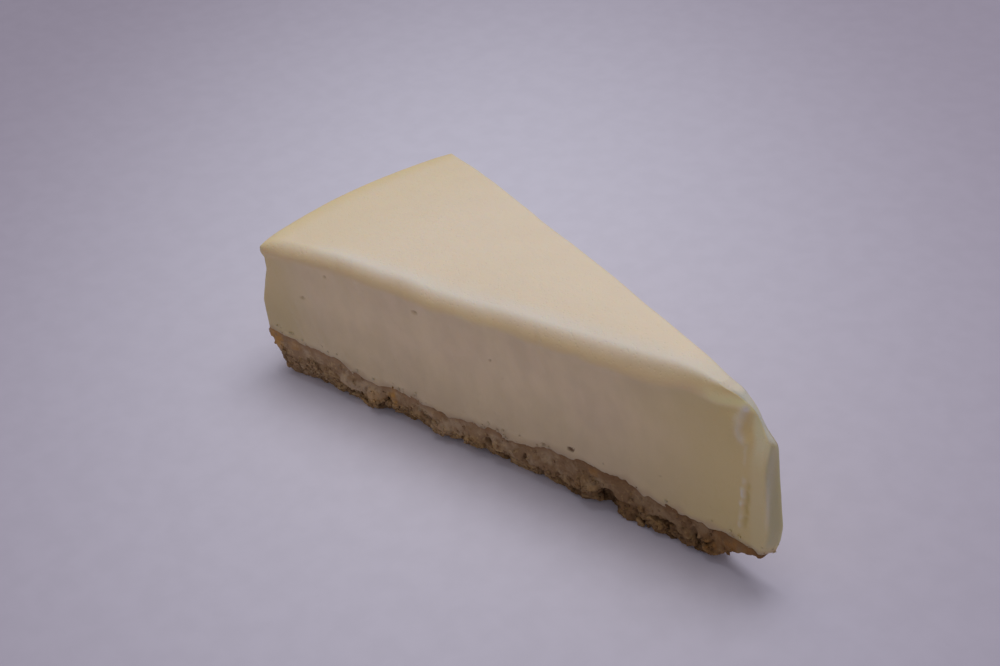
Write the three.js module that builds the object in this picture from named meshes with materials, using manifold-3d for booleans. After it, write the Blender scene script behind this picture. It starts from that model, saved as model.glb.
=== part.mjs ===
// A slice of plain baked cheesecake: a tall pale custard on a base of pressed biscuit crumbs.
// Millimetres, +Z up. The slice stands on the table at z = 0, its point towards +X and its outer side
// towards -X. The origin is under the middle of the slice's bounding box.
// The shape functions measure x from the centre of the whole cake, so the slice lies at negative x.

import * as THREE from "three";
import { mergeVertices } from "three/addons/utils/BufferGeometryUtils.js";
import Module from "manifold-3d";

// The whole cake and how it is cut.
const CAKE_RADIUS = 125;
const SLICE_ANGLE = THREE.MathUtils.degToRad(24.7);
const HALF_ANGLE = SLICE_ANGLE / 2;
const CENTRE_X = 61.5; // from the slice's origin to the centre of the whole cake

// Heights above the table. The top is nearly level at the centre and falls towards the side.
const CENTRE_HEIGHT = 44.4;
const SIDE_HEIGHT = 36.3;
const TOP_FALL_POWER = 2.2;
const TIP_DROOP = { height: 1.7, length: 16 };

// The crumb layer's top. It waves, and crumbs are pressed up a little at the foot of the tin's wall.
const CRUST_HEIGHT = 10.2;
const CRUST_WAVE = { height: 1.1, length: 82, crest: 48 };
const CRUST_BUMP = { height: 0.45, size: 9 };
const CRUST_RISE = { height: 1.0, start: 106, length: 16 };
const LAYER_GAP = 0.3;

// The custard's edges and cuts. The knife drags the top's edge down over each cut.
const EDGE_ROUND = { front: 2.2, back: 1.6, side: 1.6 };
const CUT_HOLLOW = { front: 1.0, back: 0.4 }; // how far the middle of each cut bows inwards
const CORNER_ROUND = { depth: 0.5, share: 0.2 };

// The thin blunt nose that the knife leaves at the point, and the dent in its upper corner.
const NOSE = { front: 0.9, back: 1.4, blend: 1.2, skew: 1.3, round: 0.4, bottom: 8.6 };
const NOSE_DRIP = { height: 1.2, start: 2.7, end: 4.6 }; // the custard hangs a little below its layer here
const DENT = { x: -1.9, z: 37, length: 6.4, height: 9, thickness: 3.6, depth: 0.6 };

// How far the nose reaches past the cake's centre, by height: heel, foot, shoulder and broken top corner.
const NOSE_PROFILE = [
  [8.6, 3.4],
  [12, 4.7],
  [15.2, 5.8],
  [34.2, 4.0],
  [39.5, 0.4],
  [44.4, -4.4],
];

// How far the outer side stands out, by height: the crust, the custard's bulge, its hollow and its lip.
const SIDE_PROFILE = [
  [0, 1.9],
  [7, 1.7],
  [10, 3.1],
  [20, 3.3],
  [24, 2.1],
  [29, 0.7],
  [32, 0.6],
  [34.5, 1.5],
];

// The crumb base: crumbled back at its foot, ragged all round, and broken off under the point.
const UNDERCUT = { depth: 1.1, share: 0.42, power: 1.5 };
const CRAG = { coarse: 1.0, coarseSize: 5, fine: 0.6, fineSize: 2.1, depth: 0.05 };
const CRAG_UNDER_CUSTARD = 0.2;
const HEEL_LIFT = { height: 8.2, length: 13.5, power: 1.2 };
const CRUST_REACH = 1.9;

// Crumbs that stand out of the base. None reaches the custard, and each is sunk in by a share of its size.
const CRUMB_COUNT = 76;
const CRUMB_SIZE = { least: 1, most: 2.6 };
const CRUMB_CEILING = 8.2;
const CRUMB_SINK = 0.35;
const CRUMB_SEED = 11;
const CUT_SHARE = 0.42; // each cut's share of the way round the crust

// How finely each solid is divided.
const CUSTARD_GRID = { along: 40, across: 8, rounding: 3 };
const CUSTARD_LEVELS = [0, 0.06, 0.14, 0.26, 0.38, 0.53, 0.7, 0.83, 0.93, 1];
const CRUST_GRID = { along: 56, across: 6 };
const CRUST_LEVELS = [0, 0.14, 0.3, 0.48, 0.68, 0.86, 1];
const WELD = 1e-4;

const CREAM = { color: 0xf1e3bf, roughness: 0.5, metalness: 0 };
const BISCUIT = { color: 0x8a6a48, roughness: 0.92, metalness: 0 };

const { lerp, clamp, smoothstep } = THREE.MathUtils;

// A number from 0 to 1 that depends only on its three whole-number arguments.
function hash(i, j, k) {
  const n = Math.sin(i * 127.1 + j * 311.7 + k * 74.7) * 43758.5453;
  return n - Math.floor(n);
}

// Smooth noise from -1 to 1 over space, with bumps of about the given size.
function noise(size, ...point) {
  const [i, j, k] = point.map((c) => Math.floor(c / size));
  const [u, v, w] = point.map((c) => smoothstep(c / size - Math.floor(c / size), 0, 1));
  const row = (dj, dk) => lerp(hash(i, j + dj, k + dk), hash(i + 1, j + dj, k + dk), u);
  return 2 * lerp(lerp(row(0, 0), row(1, 0), v), lerp(row(0, 1), row(1, 1), v), w) - 1;
}

// The value at x of a line through sorted [x, y] points, level beyond its ends.
function profileAt(points, x) {
  const next = points.findIndex((p) => p[0] > x);
  if (next === 0) return points[0][1];
  if (next < 0) return points.at(-1)[1];
  const [a, b] = [points[next - 1], points[next]];
  return lerp(a[1], b[1], (x - a[0]) / (b[0] - a[0]));
}

// The larger of two lengths, with a soft turn between them.
const softMax = (a, b, blend) => (a + b + Math.hypot(a - b, blend)) / 2;

// The height of the custard's top.
function topHeight(x, y) {
  const r = Math.min(Math.hypot(x, y), CAKE_RADIUS);
  const fall = (CENTRE_HEIGHT - SIDE_HEIGHT) * (r / CAKE_RADIUS) ** TOP_FALL_POWER;
  return CENTRE_HEIGHT - fall - TIP_DROOP.height * smoothstep(x, -TIP_DROOP.length, 0);
}

// The height of the boundary between the crust and the custard.
function layerHeight(x, y) {
  const r = Math.hypot(x, y);
  const phase = (2 * Math.PI * (r - CRUST_WAVE.crest)) / CRUST_WAVE.length;
  const wave = CRUST_WAVE.height * Math.cos(phase);
  const end = CRUST_RISE.start + CRUST_RISE.length;
  const rise = CRUST_RISE.height * smoothstep(r, CRUST_RISE.start, end);
  return CRUST_HEIGHT + wave + rise + CRUST_BUMP.height * noise(CRUST_BUMP.size, x, y, 0);
}

// The distance from the middle plane to a cut, at x: straight from the side, then the nose's own thickness.
function halfWidth(x, hollow, least) {
  const share = clamp(-x / CAKE_RADIUS, 0, 1);
  const straight = Math.max(-x, 0) * Math.tan(HALF_ANGLE);
  return softMax(straight - 4 * hollow * share * (1 - share), least, NOSE.blend);
}

const frontWidth = (x) => halfWidth(x, CUT_HOLLOW.front, NOSE.front);
const backWidth = (x) => halfWidth(x, CUT_HOLLOW.back, NOSE.back);

// An edge's rounding, no larger than the slice's thickness at x has room for.
function roundingAt(x, t) {
  const wanted = lerp(EDGE_ROUND.front, EDGE_ROUND.back, (t + 1) / 2);
  return Math.min(wanted, frontWidth(x) / 2);
}

// A point of the slice's plan. s runs from the outer side to the nose, and t from the front cut (-1) to the
// back cut (1). inset is the share of the edge's rounding by which the outline is drawn in. reach is where
// the nose ends, and out is how far the outer side stands out.
function planPoint(s, t, inset, reach, out) {
  const corner = CORNER_ROUND.depth * Math.max(0, 1 - (1 - Math.abs(t)) / CORNER_ROUND.share) ** 2;
  const side = -(CAKE_RADIUS + out) * Math.cos(HALF_ANGLE * t) + corner + inset * EDGE_ROUND.side;
  const slant = (NOSE.skew * (1 - t)) / 2 + NOSE.round * t * t;
  const x = lerp(side, reach - slant - inset * roundingAt(reach, t), s);
  const front = frontWidth(x) - inset * roundingAt(x, -1);
  const back = backWidth(x) - inset * roundingAt(x, 1);
  return [x, lerp(-front, back, (t + 1) / 2)];
}

// The grid places round the plan's edge: front cut, nose, back cut, then the outer side.
function edgeLoop(along, across) {
  const loop = [];
  for (let i = 0; i < along; i++) loop.push([i, 0]);
  for (let j = 0; j < across; j++) loop.push([along, j]);
  for (let i = along; i > 0; i--) loop.push([i, across]);
  for (let j = across; j > 0; j--) loop.push([0, j]);
  return loop;
}

// A closed solid over the plan. pointAt(s, t, level) gives its points: a whole grid of them at level 0 and
// at the last level, and the rings round its side between.
function layeredSolid({ along, across }, levels, pointAt) {
  const positions = [];
  const triangles = [];
  const add = (i, j, level) => {
    positions.push(...pointAt(i / along, (2 * j) / across - 1, level));
    return positions.length / 3 - 1;
  };
  const quad = (a, b, c, d) => triangles.push(a, b, c, a, c, d);
  const rowAt = (i, level) => Array.from({ length: across + 1 }, (_, j) => add(i, j, level));
  const gridAt = (level) => Array.from({ length: along + 1 }, (_, i) => rowAt(i, level));
  const [floor, roof] = [gridAt(0), gridAt(levels)];
  const loop = edgeLoop(along, across);
  const ringAt = (level) => {
    if (level === 0) return loop.map(([i, j]) => floor[i][j]);
    if (level === levels) return loop.map(([i, j]) => roof[i][j]);
    return loop.map(([i, j]) => add(i, j, level));
  };
  let below = ringAt(0);
  for (let level = 1; level <= levels; level++) {
    const above = ringAt(level);
    for (let n = 0; n < loop.length; n++) {
      const next = (n + 1) % loop.length;
      quad(below[n], below[next], above[next], above[n]);
    }
    below = above;
  }
  for (let i = 0; i < along; i++)
    for (let j = 0; j < across; j++) {
      quad(floor[i][j], floor[i][j + 1], floor[i + 1][j + 1], floor[i + 1][j]);
      quad(roof[i][j], roof[i + 1][j], roof[i + 1][j + 1], roof[i][j + 1]);
    }
  const geometry = new THREE.BufferGeometry();
  geometry.setAttribute("position", new THREE.BufferAttribute(new Float32Array(positions), 3));
  geometry.setIndex(triangles);
  return geometry;
}

// The custard before its dent: walls from the crust up, a rounded edge, and a gently domed top.
function custardGeometry() {
  const wall = CUSTARD_LEVELS.length - 1;
  return layeredSolid(CUSTARD_GRID, wall + CUSTARD_GRID.rounding, (s, t, level) => {
    const up = CUSTARD_LEVELS[Math.min(level, wall)];
    const turn = (Math.max(level - wall, 0) / CUSTARD_GRID.rounding) * (Math.PI / 2);
    const z = lerp(lerp(CRUST_HEIGHT, NOSE.bottom, s), lerp(SIDE_HEIGHT, CENTRE_HEIGHT, s), up);
    const [reach, out] = [profileAt(NOSE_PROFILE, z), profileAt(SIDE_PROFILE, z)];
    const [x, y] = planPoint(s, t, 1 - Math.cos(turn), reach, out);
    const round = roundingAt(x, t);
    const drip = NOSE_DRIP.height * smoothstep(x, NOSE_DRIP.start, NOSE_DRIP.end);
    const bottom = layerHeight(x, y) + LAYER_GAP / 2 - drip;
    const shoulder = topHeight(x, y) - round;
    return [x, y, lerp(bottom, shoulder, up) + round * Math.sin(turn)];
  });
}

// The egg-shaped hollow that is pressed into the nose's front.
function dentGeometry() {
  const hollow = new THREE.IcosahedronGeometry(0.5, 3);
  hollow.scale(DENT.length, DENT.thickness, DENT.height);
  hollow.translate(DENT.x, -frontWidth(DENT.x) + DENT.depth - DENT.thickness / 2, DENT.z);
  return hollow;
}

// How far the crust's foot is crumbled back at a share of its height.
const footAt = (share) => UNDERCUT.depth * clamp(1 - share / UNDERCUT.share, 0, 1) ** UNDERCUT.power;

// How far the crust is broken off above the table at x.
function liftAt(x) {
  const share = clamp(1 + (x - CRUST_REACH) / HEEL_LIFT.length, 0, 1);
  return HEEL_LIFT.height * share ** HEEL_LIFT.power;
}

// How far the crust's ragged face stands out of its even form.
function cragAt([x, y], z) {
  const coarse = CRAG.coarse * noise(CRAG.coarseSize, x, y, z);
  return coarse + CRAG.fine * noise(CRAG.fineSize, x, y, z) - CRAG.depth;
}

// The crust without its crumbs.
function crustGeometry() {
  return layeredSolid(CRUST_GRID, CRUST_LEVELS.length - 1, (s, t, level) => {
    const share = CRUST_LEVELS[level];
    const z = share * CRUST_HEIGHT;
    const ragged = share < 1 ? 1 : CRAG_UNDER_CUSTARD;
    const edge = (es, et) => planPoint(es, et, 0, CRUST_REACH, 0);
    const relief = (es, et) => ragged * cragAt(edge(es, et), z) - footAt(share);
    const out = profileAt(SIDE_PROFILE, z) + relief(0, t);
    const [x, even] = planPoint(s, t, 0, CRUST_REACH + relief(1, t), out);
    const y = even * clamp(1 + relief(s, Math.sign(t)) / frontWidth(x), 0.4, 1.5);
    return [x, y, lerp(liftAt(x), layerHeight(x, y) - LAYER_GAP / 2, share)];
  });
}

// The plan's s and t at a share of the way round the crust: one cut, back along the other, then the side.
function roundCrust(share) {
  if (share < CUT_SHARE) return [share / CUT_SHARE, -1];
  if (share < 2 * CUT_SHARE) return [2 - share / CUT_SHARE, 1];
  return [0, 1 - (2 * (share - 2 * CUT_SHARE)) / (1 - 2 * CUT_SHARE)];
}

// Rough lumps of crumb, unevenly spaced round the crust by a seeded rule.
function crumbGeometries() {
  return Array.from({ length: CRUMB_COUNT }, (_, n) => {
    const random = (k) => hash(n, k, CRUMB_SEED);
    const size = lerp(CRUMB_SIZE.least, CRUMB_SIZE.most, random(1) ** 2);
    const height = lerp(size, CRUMB_CEILING - size, random(2) ** 1.5);
    const [s, t] = roundCrust((n + 0.8 * random(0)) / CRUMB_COUNT);
    const foot = footAt(height / CRUST_HEIGHT);
    const out = profileAt(SIDE_PROFILE, height) - foot;
    const [x, y] = planPoint(s, t, 0, CRUST_REACH - size, out);
    const z = clamp(height + liftAt(x), size, CRUMB_CEILING - size);
    const sunk = CRUMB_SINK * size;
    const crumb = new THREE.IcosahedronGeometry(size, 0);
    crumb.scale(1, lerp(0.6, 1, random(3)), lerp(0.6, 0.9, random(4)));
    crumb.rotateX(Math.PI * random(5));
    crumb.rotateY(Math.PI * random(6));
    crumb.rotateZ(Math.PI * random(7));
    if (s === 0) crumb.translate(x + sunk, y, z);
    else crumb.translate(x, y - t * (sunk + foot), z);
    return crumb;
  });
}

const wasm = await Module();
wasm.setup();

// A closed geometry as a solid that can be joined or cut.
function solidOf(geometry) {
  const bare = geometry.index ? geometry.toNonIndexed() : geometry.clone();
  bare.deleteAttribute("normal");
  bare.deleteAttribute("uv");
  const merged = mergeVertices(bare, WELD);
  return new wasm.Manifold(
    new wasm.Mesh({
      numProp: 3,
      vertProperties: new Float32Array(merged.attributes.position.array),
      triVerts: new Uint32Array(merged.index.array),
    }),
  );
}

// A named piece of the slice, moved from the cake's centre to the slice's own origin.
function piece(name, solid, look) {
  const { vertProperties, triVerts } = solid.getMesh();
  const geometry = new THREE.BufferGeometry();
  geometry.setAttribute("position", new THREE.BufferAttribute(vertProperties, 3));
  geometry.setIndex(new THREE.BufferAttribute(triVerts, 1));
  const mesh = new THREE.Mesh(geometry, new THREE.MeshStandardMaterial(look));
  mesh.name = name;
  mesh.position.x = CENTRE_X;
  return mesh;
}

// The custard with its dent.
function custardSolid() {
  return solidOf(custardGeometry()).subtract(solidOf(dentGeometry()));
}

// The crust with its crumbs fused on. A crumb that nothing holds is dropped.
function crustSolid() {
  let crust = solidOf(crustGeometry());
  for (const crumb of crumbGeometries()) crust = crust.add(solidOf(crumb));
  return crust.decompose().sort((a, b) => b.volume() - a.volume())[0];
}

const slice = new THREE.Group();
slice.add(piece("custard", custardSolid(), CREAM));
slice.add(piece("crust", crustSolid(), BISCUIT));

export default slice;
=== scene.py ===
"""Looks for one slice of plain baked cheesecake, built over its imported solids.

The slice stands on the floor with its point towards +X and its outer side towards -X. The shape classes work in
millimetres from the middle of the whole cake, where the slice lies at negative x, and every mesh is moved to the
slice's own origin and scaled to metres once, when it is made.
"""

import logging
import math
from dataclasses import dataclass, field
from enum import Enum

import bpy
import numpy as np
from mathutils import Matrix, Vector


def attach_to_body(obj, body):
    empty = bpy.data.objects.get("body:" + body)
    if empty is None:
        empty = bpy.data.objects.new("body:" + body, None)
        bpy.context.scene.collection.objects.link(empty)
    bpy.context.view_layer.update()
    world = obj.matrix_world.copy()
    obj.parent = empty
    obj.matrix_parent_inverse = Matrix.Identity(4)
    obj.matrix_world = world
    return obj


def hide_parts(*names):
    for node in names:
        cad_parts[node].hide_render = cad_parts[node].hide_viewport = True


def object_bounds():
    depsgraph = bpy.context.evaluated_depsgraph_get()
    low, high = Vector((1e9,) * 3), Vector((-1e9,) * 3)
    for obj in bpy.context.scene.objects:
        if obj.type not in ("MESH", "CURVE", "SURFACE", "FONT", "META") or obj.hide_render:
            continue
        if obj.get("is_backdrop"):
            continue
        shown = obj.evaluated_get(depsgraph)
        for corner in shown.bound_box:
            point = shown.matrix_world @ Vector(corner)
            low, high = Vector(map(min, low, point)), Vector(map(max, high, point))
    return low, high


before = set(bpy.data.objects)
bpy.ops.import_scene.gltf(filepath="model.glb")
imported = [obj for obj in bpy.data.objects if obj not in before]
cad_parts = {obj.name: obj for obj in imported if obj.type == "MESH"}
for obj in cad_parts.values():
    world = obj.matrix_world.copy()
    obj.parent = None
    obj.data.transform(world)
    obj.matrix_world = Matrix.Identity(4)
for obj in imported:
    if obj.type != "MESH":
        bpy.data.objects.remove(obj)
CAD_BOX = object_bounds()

import openvdb
from mathutils import Matrix, Quaternion, Vector

logging.basicConfig(level=logging.INFO, format="%(message)s")
log = logging.getLogger("cheesecake")

MM = 0.001
BODY = "root"

Array = np.ndarray
Colour = tuple[float, float, float]


# Numbers from rules


def lattice_hash(i: Array, j: Array, k: Array) -> Array:
    """Gives a number from 0 to 1 that depends only on three whole numbers."""
    n = np.sin(i * 127.1 + j * 311.7 + k * 74.7) * 43758.5453
    return n - np.floor(n)


def ease(value: Array, low: float, high: float) -> Array:
    """Rises smoothly from 0 at low to 1 at high."""
    t = np.clip((value - low) / (high - low), 0.0, 1.0)
    return t * t * (3.0 - 2.0 * t)


def window(value: Array, rise: tuple[float, float], fall: tuple[float, float]) -> Array:
    """Is 1 between a rise and a fall, and 0 outside them, with soft turns."""
    return ease(value, *rise) * (1.0 - ease(value, *fall))


def bump(value: Array, middle: Array | float, width: float) -> Array:
    """Is 1 at the middle and fades away over the width on both sides."""
    return np.exp(-(((value - middle) / width) ** 2))


def follow(value: Array, places: tuple) -> Array:
    """Follows straight lines through pairs of a place and what is wanted there."""
    return np.interp(value, *zip(*places))


def noise(size: float, x: Array, y: Array | float = 0.0, z: Array | float = 0.0) -> Array:
    """Smooth noise over space.

    Args:
        size: the distance between one bump and the next.
        x, y, z: where it is wanted, in the size's own unit.

    Returns:
        Values from -1 to 1.
    """
    cells, parts = [], []
    for c in np.broadcast_arrays(x, y, z):
        low = np.floor(c / size)
        cells.append(low)
        parts.append(ease(c / size - low, 0.0, 1.0))
    (i, j, k), (u, v, w) = cells, parts

    def row(dj: int, dk: int) -> Array:
        """Blends the two corners of one edge of the cell."""
        left = lattice_hash(i, j + dj, k + dk)
        return left + (lattice_hash(i + 1, j + dj, k + dk) - left) * u

    near = row(0, 0) + (row(1, 0) - row(0, 0)) * v
    far = row(0, 1) + (row(1, 1) - row(0, 1)) * v
    return 2.0 * (near + (far - near) * w) - 1.0


def grains(size: float, x: Array, y: Array, z: Array, salt: float = 0.0) -> tuple[Array, Array]:
    """Splits space into irregular grains, one around each of many scattered points.

    Args:
        size: the usual distance between neighbouring grains.
        x, y, z: where it is wanted, as flat arrays.
        salt: another salt gives another arrangement.

    Returns:
        How far inside its grain's border each place is, as a share of the size, and a random number from 0 to 1 for
        each grain.
    """
    scaled = [c / size for c in (x, y, z)]
    base = [np.floor(c) for c in scaled]
    nearest, second = np.full(x.shape, 9.0), np.full(x.shape, 9.0)
    mark = np.zeros(x.shape)
    for step in np.ndindex(3, 3, 3):
        cell = [b + s - 1 for b, s in zip(base, step)]
        distance = 0.0
        for axis in range(3):
            jitter = lattice_hash(cell[0] + salt, cell[1] + 17.0 * axis, cell[2])
            distance = distance + (cell[axis] + 0.1 + 0.8 * jitter - scaled[axis]) ** 2
        closer = distance < nearest
        second = np.where(closer, nearest, np.minimum(second, distance))
        nearest = np.where(closer, distance, nearest)
        mark = np.where(closer, lattice_hash(cell[0], cell[1] + 5.0 + salt, cell[2] + 3.0), mark)
    return np.sqrt(second) - np.sqrt(nearest), mark


# The even form of the slice


@dataclass(frozen=True)
class SliceForm:
    """The even form that both layers share, in millimetres from the middle of the whole cake."""

    cake_radius: float = 125.0
    slice_angle: float = math.radians(24.7)
    origin_x: float = 61.5
    centre_height: float = 44.4
    side_height: float = 36.3
    fall_power: float = 2.2
    tip_droop: float = 1.7
    droop_length: float = 16.0
    crust_height: float = 10.2
    crust_wave: float = 1.1
    wave_length: float = 82.0
    wave_crest: float = 48.0
    crust_bump: float = 0.45
    bump_size: float = 9.0
    crust_dips: tuple = (
        *((26.0, 0.0), (30.0, -0.9), (34.0, 0.0), (44.0, 0.3), (49.0, 0.5), (52.0, 1.0), (55.0, 1.8)),
        *((60.0, 1.8), (63.0, 1.1), (70.0, 1.0), (76.0, 1.6), (80.0, 0.9), (86.0, 0.2), (93.0, 0.3)),
        *((96.0, 0.9), (99.0, 0.9), (102.0, 0.0), (105.0, -0.6), (113.0, -0.8), (117.0, -0.4), (121.0, 0.0)),
    )
    crust_rise: float = 1.0
    rise_start: float = 106.0
    rise_length: float = 16.0
    front_hollow: float = 1.0
    back_hollow: float = 0.4
    nose_front: float = 0.9
    nose_back: float = 1.4
    nose_blend: float = 1.2
    nose_heights: tuple = (8.4, 12.0, 15.6, 26.7, 33.4, 34.8, 36.6, 38.6, 40.2, 41.6, 42.6, 43.4)
    nose_reaches: tuple = (3.3, 4.6, 5.2, 4.3, 3.9, 3.4, 1.1, -0.4, -1.8, -3.7, -5.4, -7.8)
    nose_soften: float = 0.5
    side_heights: tuple = (0.0, 7.0, 10.0, 20.0, 24.0, 29.0, 32.0, 33.4, 36.3)
    side_reaches: tuple = (1.9, 1.7, 3.1, 3.3, 2.1, 0.7, 0.6, 1.3, 1.2)

    def top_height(self, x: Array, y: Array) -> Array:
        """Gives the height of the custard's top."""
        share = np.minimum(np.hypot(x, y), self.cake_radius) / self.cake_radius
        fall = (self.centre_height - self.side_height) * share**self.fall_power
        return self.centre_height - fall - self.tip_droop * ease(x, -self.droop_length, 0.0)

    def layer_height(self, x: Array, y: Array) -> Array:
        """Gives the height of the boundary between the crust and the custard."""
        r = np.hypot(x, y)
        wave = self.crust_wave * np.cos(2.0 * math.pi * (r - self.wave_crest) / self.wave_length)
        rise = self.crust_rise * ease(r, self.rise_start, self.rise_start + self.rise_length)
        dip = follow(r, self.crust_dips)
        return self.crust_height + wave + rise - dip + self.crust_bump * noise(self.bump_size, x, y)

    def _half_width(self, x: Array, hollow: float, least: float) -> Array:
        """Gives the distance from the middle plane to a cut, at x."""
        share = np.clip(-x / self.cake_radius, 0.0, 1.0)
        straight = np.maximum(-x, 0.0) * math.tan(self.slice_angle / 2.0)
        bowed = straight - 4.0 * hollow * share * (1.0 - share)
        return (bowed + least + np.hypot(bowed - least, self.nose_blend)) / 2.0

    def front_width(self, x: Array) -> Array:
        """Gives the distance from the middle plane to the front cut."""
        return self._half_width(x, self.front_hollow, self.nose_front)

    def back_width(self, x: Array) -> Array:
        """Gives the distance from the middle plane to the back cut."""
        return self._half_width(x, self.back_hollow, self.nose_back)

    def nose_reach(self, z: Array) -> Array:
        """Gives how far the nose reaches past the cake's middle."""
        steps = (-self.nose_soften, 0.0, self.nose_soften)
        return sum(np.interp(z + step, self.nose_heights, self.nose_reaches) for step in steps) / len(steps)

    def side_reach(self, z: Array) -> Array:
        """Gives how far the outer side stands out beyond the cake's radius."""
        return np.interp(z, self.side_heights, self.side_reaches)

    def to_frame(self, points: Array) -> Array:
        """Moves points to the slice's own origin and scales them to metres."""
        return (points + np.array([self.origin_x, 0.0, 0.0])) * MM


FORM = SliceForm()


@dataclass
class MeshDraft:
    """A mesh in the making: points in millimetres, faces, and named values at its points."""

    points: Array
    faces: list
    values: dict[str, Array] = field(default_factory=dict)

    def make(self, name: str) -> bpy.types.Object:
        """Makes the mesh object, at the origin, with its place in its mesh.

        Args:
            name: the piece's name.

        Returns:
            The new object, smooth-shaded, linked to the scene.
        """
        mesh = bpy.data.meshes.new(name)
        mesh.from_pydata(FORM.to_frame(self.points), [], self.faces)
        mesh.validate()
        for key, value in self.values.items():
            layer = mesh.attributes.new(key, "FLOAT", "POINT")
            layer.data.foreach_set("value", value.astype(np.float32))
        mesh.shade_smooth()
        piece = bpy.data.objects.new(name, mesh)
        bpy.context.scene.collection.objects.link(piece)
        return piece


def attach(piece: bpy.types.Object, material: bpy.types.Material, node: str = "") -> None:
    """Gives a piece its finish and its place on the frame.

    Args:
        piece: the finished mesh object.
        material: the finish, or the one that the piece has already.
        node: the CAD node that the piece stands for, if any.
    """
    if piece.data.materials:
        piece.data.materials[0] = material
    else:
        piece.data.materials.append(material)
    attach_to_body(piece, BODY)
    if node:
        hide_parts(node)
    piece.data.calc_loop_triangles()
    log.info("%s: %d triangles", piece.name, len(piece.data.loop_triangles))


def add_node(tree: bpy.types.NodeTree, kind: str, inputs: dict | None = None, **settings: object) -> bpy.types.Node:
    """Adds a node to a tree.

    Args:
        tree: the shader or geometry tree.
        kind: the node's type.
        inputs: what its sockets are set to or linked from, by name or number.
        settings: the node's own settings.

    Returns:
        The node.
    """
    made = tree.nodes.new(kind)
    for key, value in settings.items():
        setattr(made, key, value)
    for key, value in (inputs or {}).items():
        if isinstance(value, bpy.types.NodeSocket):
            tree.links.new(value, made.inputs[key])
        else:
            made.inputs[key].default_value = value
    return made


# Finishes


class Shading:
    """Adds shader nodes to one material and links them."""

    def __init__(self, name: str) -> None:
        """Starts an empty material of that name."""
        self.material = bpy.data.materials.new(name)
        self.material.use_nodes = True
        self.tree = self.material.node_tree
        self.tree.nodes.clear()
        self.place = self.node("ShaderNodeTexCoord").outputs["Object"]

    def node(self, kind: str, inputs: dict | None = None, **settings: object) -> bpy.types.Node:
        """Adds a node to the material."""
        return add_node(self.tree, kind, inputs, **settings)

    def value(self, name: str) -> bpy.types.NodeSocket:
        """Reads a value that the mesh carries at its points."""
        return self.node("ShaderNodeAttribute", attribute_name=name).outputs["Fac"]

    def noise(self, size_mm: float, detail: float = 3.0, stretch: Colour = (1.0, 1.0, 1.0)) -> bpy.types.NodeSocket:
        """Adds noise of a size in millimetres, drawn out by the stretch along each axis."""
        scale = tuple(1.0 / (size_mm * MM * s) for s in stretch)
        spot = self.node("ShaderNodeMapping", {"Vector": self.place, "Scale": scale})
        made = self.node("ShaderNodeTexNoise", {"Vector": spot.outputs[0], "Scale": 1.0, "Detail": detail})
        return made.outputs["Fac"]

    def cells(self, size_mm: float, output: str = "Distance") -> bpy.types.NodeSocket:
        """Adds scattered cells of a size in millimetres."""
        inputs = {"Vector": self.place, "Scale": 1.0 / (size_mm * MM)}
        return self.node("ShaderNodeTexVoronoi", inputs).outputs[output]

    def ease(
        self, source: bpy.types.NodeSocket, low: float, high: float, top: float = 1.0, bottom: float = 0.0
    ) -> bpy.types.NodeSocket:
        """Rises from bottom where the source is low to top where it is high."""
        inputs = {"Value": source, "From Min": low, "From Max": high, "To Min": bottom, "To Max": top}
        return self.node("ShaderNodeMapRange", inputs, interpolation_type="SMOOTHSTEP").outputs[0]

    def math(self, operation: str, a: object, b: object) -> bpy.types.NodeSocket:
        """Combines two numbers or sockets."""
        return self.node("ShaderNodeMath", {0: a, 1: b}, operation=operation).outputs[0]

    def mix(self, factor: object, a: object, b: object, blend: str = "MIX") -> bpy.types.NodeSocket:
        """Mixes two colours or colour sockets by a factor."""
        ends = [v if isinstance(v, bpy.types.NodeSocket) else (*v, 1.0) for v in (a, b)]
        inputs = {0: factor, 6: ends[0], 7: ends[1]}
        return self.node("ShaderNodeMix", inputs, data_type="RGBA", blend_type=blend).outputs[2]

    def bump(self, height: bpy.types.NodeSocket, depth_mm: float, under: object = None) -> bpy.types.NodeSocket:
        """Turns a height from 0 to 1 into a bump of a depth in millimetres, over another bump if one is given."""
        inputs = {"Height": height, "Distance": depth_mm * MM, "Strength": 1.0}
        if under is not None:
            inputs["Normal"] = under
        return self.node("ShaderNodeBump", inputs).outputs[0]

    def finish(self, inputs: dict) -> bpy.types.Material:
        """Ends the material in one surface shader with those inputs."""
        surface = self.node("ShaderNodeBsdfPrincipled", inputs)
        self.node("ShaderNodeOutputMaterial", {"Surface": surface.outputs[0]})
        return self.material


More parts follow.
